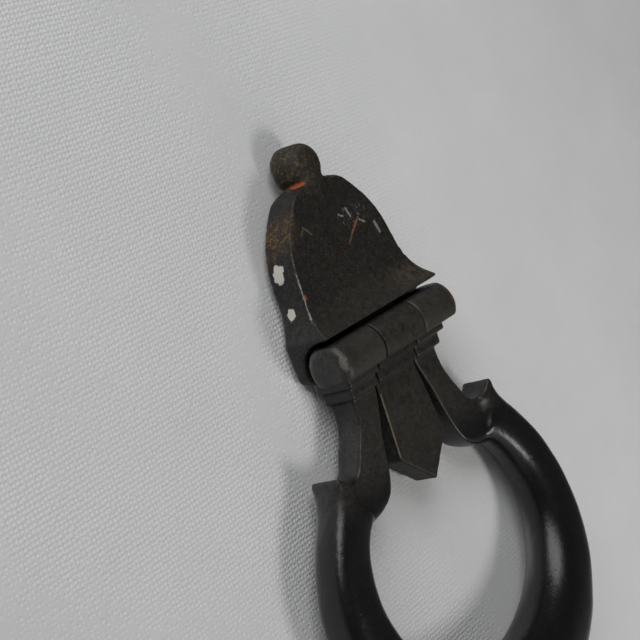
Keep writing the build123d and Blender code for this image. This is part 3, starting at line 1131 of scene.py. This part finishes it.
def wavy_cloth(width, height, steps=120):
    """A sheet in the plane of the door that swells a little towards the wall."""
    points, faces = [], []
    for row in range(steps + 1):
        for column in range(steps + 1):
            x = (column / steps - 0.5) * width
            z = (row / steps - 0.5) * height + CLOTH_MIDDLE_Z
            slow = noise.noise(Vector((x * 9 + z * 4, z * 3, 0.7)))
            from_middle = math.hypot(x, z - CLOTH_MIDDLE_Z)
            swell = (slow + 0.6) * CLOTH_SWELL * MM * min(1.0, from_middle / FLAT_NEAR_MIDDLE)
            points.append((x, CLOTH_BEHIND_DOOR_FACE * MM + max(0.0, swell), z))
    for row in range(steps):
        for column in range(steps):
            first = row * (steps + 1) + column
            faces.append((first, first + 1, first + steps + 2, first + steps + 1))
    return mesh_of("backdrop", points, faces)


backdrop = new_piece("backdrop", wavy_cloth(CLOTH_WIDTH, CLOTH_HEIGHT))
print("cloth:", len(backdrop.data.vertices), "points")

# %% Cloth material
DOT_SPACING = 1.15
CLOTH_GREY = rgb(0.74, 0.74, 0.745)
CLOTH_PALE = rgb(0.84, 0.84, 0.835)
DIMPLE_SHADE = rgb(0.58, 0.58, 0.585)


def stage_cloth():
    """Embossed cloth: dimples that fade to the right, fluff, and slow changes of grey."""
    material = bpy.data.materials.new("pale_cloth")
    material.use_nodes = True
    tree = material.node_tree
    tree.nodes.clear()
    at = vector_calc(tree, "MULTIPLY", put(tree, "TexCoord", output="Object"), (1 / MM,) * 3)
    spots = {"Vector": at, "Scale": 1 / DOT_SPACING, "Randomness": 0.3}
    dots = put(tree, "TexVoronoi", spots, "Distance")
    right = put(tree, "SeparateXYZ", {0: at}, 0)
    fade = soft_step(tree, right, -20.0, 60.0, 1.0, 0.15)
    dimples = calc(tree, "MULTIPLY", soft_step(tree, dots, 0.15, 0.55), fade)
    fluff = cloud(tree, at, 1.1, 6.0, 0.7)
    relief = calc(tree, "ADD", dimples, calc(tree, "MULTIPLY", fluff, 0.4))
    bump = put(tree, "Bump", {"Height": relief, "Distance": 0.12 * MM})
    broad = tint(tree, cloud(tree, at, 30.0, 3.0), CLOTH_GREY, CLOTH_PALE)
    dark = calc(tree, "MULTIPLY", soft_step(tree, dots, 0.20, 0.60), calc(tree, "MULTIPLY", fade, 0.4))
    colour = tint(tree, dark, broad, DIMPLE_SHADE)
    cloth = put(tree, "BsdfPrincipled", {"Base Color": colour, "Roughness": 0.9, "Normal": bump})
    clear = put(tree, "BsdfTransparent")
    behind = put(tree, "NewGeometry", output="Backfacing")
    to_a_light = put(tree, "LightPath", output="Is Shadow Ray")
    see_through = calc(tree, "MAXIMUM", behind, to_a_light)
    shown = put(tree, "MixShader", {0: see_through, 1: cloth, 2: clear})
    tree.links.new(shown, tree.nodes.new("ShaderNodeOutputMaterial").inputs["Surface"])
    return material


dress(backdrop, stage_cloth())
print("cloth material ready")

# %% Floor
FLOOR_Z = -0.48
FLOOR_HALF = 2
FLOOR_GREY = rgb(0.60, 0.60, 0.59)
FLOOR_PALE = rgb(0.66, 0.66, 0.65)


def plain_floor():
    material = bpy.data.materials.new("pale_floor")
    material.use_nodes = True
    tree = material.node_tree
    shader = tree.nodes["Principled BSDF"]
    at = put(tree, "TexCoord", output="Object")
    colour = tint(tree, cloud(tree, at, 0.2, 3.0), FLOOR_GREY, FLOOR_PALE)
    tree.links.new(colour, shader.inputs["Base Color"])
    shader.inputs["Roughness"].default_value = 0.8
    return material


corners = [(x * FLOOR_HALF, y * FLOOR_HALF, FLOOR_Z) for x, y in ((-1, -1), (1, -1), (1, 1), (-1, 1))]
floor = new_piece("floor", mesh_of("floor", corners, [(0, 1, 2, 3)]))
dress(floor, plain_floor())
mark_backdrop(backdrop, floor)
print("stage: backdrop and floor")

# %% [markdown]
# ## Light
#
# Three windows and the room light the knocker. A small window stands low in front, a
# large one stands high on the left, and a third is behind the door and lights the
# fixings. The room itself gives little light. Where the eye looks past the stage it meets
# a plain pale wall.

# %% Windows
WINDOWS_MIDDLE = Vector((0, 0, -0.06))


def window(name, azimuth, elevation, distance, width, height, power, colour):
    """A soft area light that looks at the knocker and isn't seen itself."""
    light = bpy.data.lights.new(name, "AREA")
    light.shape = "RECTANGLE"
    light.size = width
    light.size_y = height
    light.energy = power
    light.color = colour
    lamp = bpy.data.objects.new(name, light)
    bpy.context.collection.objects.link(lamp)
    towards = direction(azimuth, elevation)
    lamp.location = towards * distance + WINDOWS_MIDDLE
    lamp.rotation_euler = (-towards).to_track_quat("-Z", "Y").to_euler()
    lamp.visible_camera = False


window("low_window", 8, -32, 0.55, 0.12, 0.16, 0.75, (1.0, 0.99, 0.97))
window("high_window", -35, 52, 0.9, 0.8, 0.6, 5.4, (0.99, 0.995, 1.0))
window("back_window", 180, 12, 0.9, 0.5, 0.5, 3.0, (1.0, 1.0, 1.0))
print("three windows")

# %% Room
ROOM_BLUE = rgb(0.93, 0.96, 1.0)
ROOM_STRENGTH = 0.07
WALL_GREY = rgb(0.62, 0.62, 0.62)

world = bpy.data.worlds.new("room")
world.use_nodes = True
tree = world.node_tree
room = tree.nodes["Background"]
room.inputs["Color"].default_value = ROOM_BLUE
room.inputs["Strength"].default_value = ROOM_STRENGTH
wall = put(tree, "Background", {"Color": WALL_GREY, "Strength": 1.0})
seen = put(tree, "LightPath", output="Is Camera Ray")
room_and_wall = put(tree, "MixShader", {0: seen, 1: room.outputs[0], 2: wall})
tree.links.new(room_and_wall, tree.nodes["World Output"].inputs["Surface"])
bpy.context.scene.world = world
print("room light and wall")

# %% [markdown]
# ## Sizes
#
# The looks must not change the size of the knocker. Both boxes are written down, so that
# they can be compared.

# %% Write the sizes and finish
visual_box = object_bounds()
for title, (low, high) in (("cad", cad_box), ("visual", visual_box)):
    print(title, "size", [round(v / MM, 1) for v in high - low], "mm")
